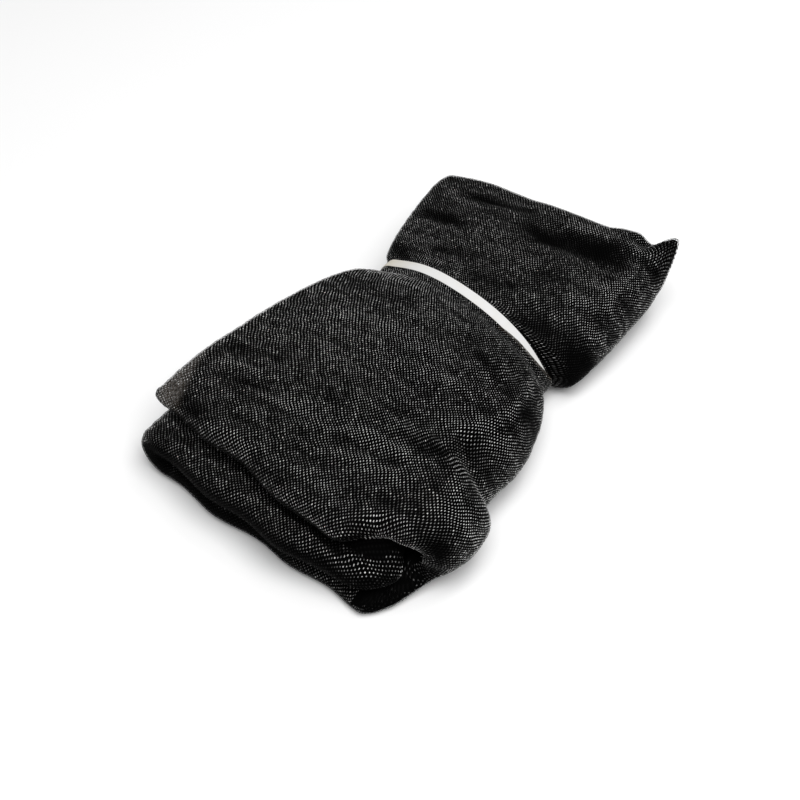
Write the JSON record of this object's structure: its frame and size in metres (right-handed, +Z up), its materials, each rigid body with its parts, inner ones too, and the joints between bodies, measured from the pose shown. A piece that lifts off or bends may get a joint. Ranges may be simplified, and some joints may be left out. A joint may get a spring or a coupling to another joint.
{
  "type": "olive harvesting net",
  "caption": "Fine black net folded into a soft layered bundle and drawn in at the waist by a flat white tape, for spreading under olive trees at harvest.",
  "frame": {"origin": "on the surface that the bundle lies on, under the middle of its outline", "axes": "+X along the bundle to its far end, the one nearer the tape; +Y to its left, where the pad's free edge lies; +Z up"},
  "size_m": [0.5492, 0.35, 0.0992],
  "materials": {
    "net": "near-black knitted mesh of fine threads with small bright glints",
    "tape": "flat white woven tape, matt"
  },
  "bodies": {
    "root": {"net": "net", "band": "tape"}
  },
  "joints": []
}
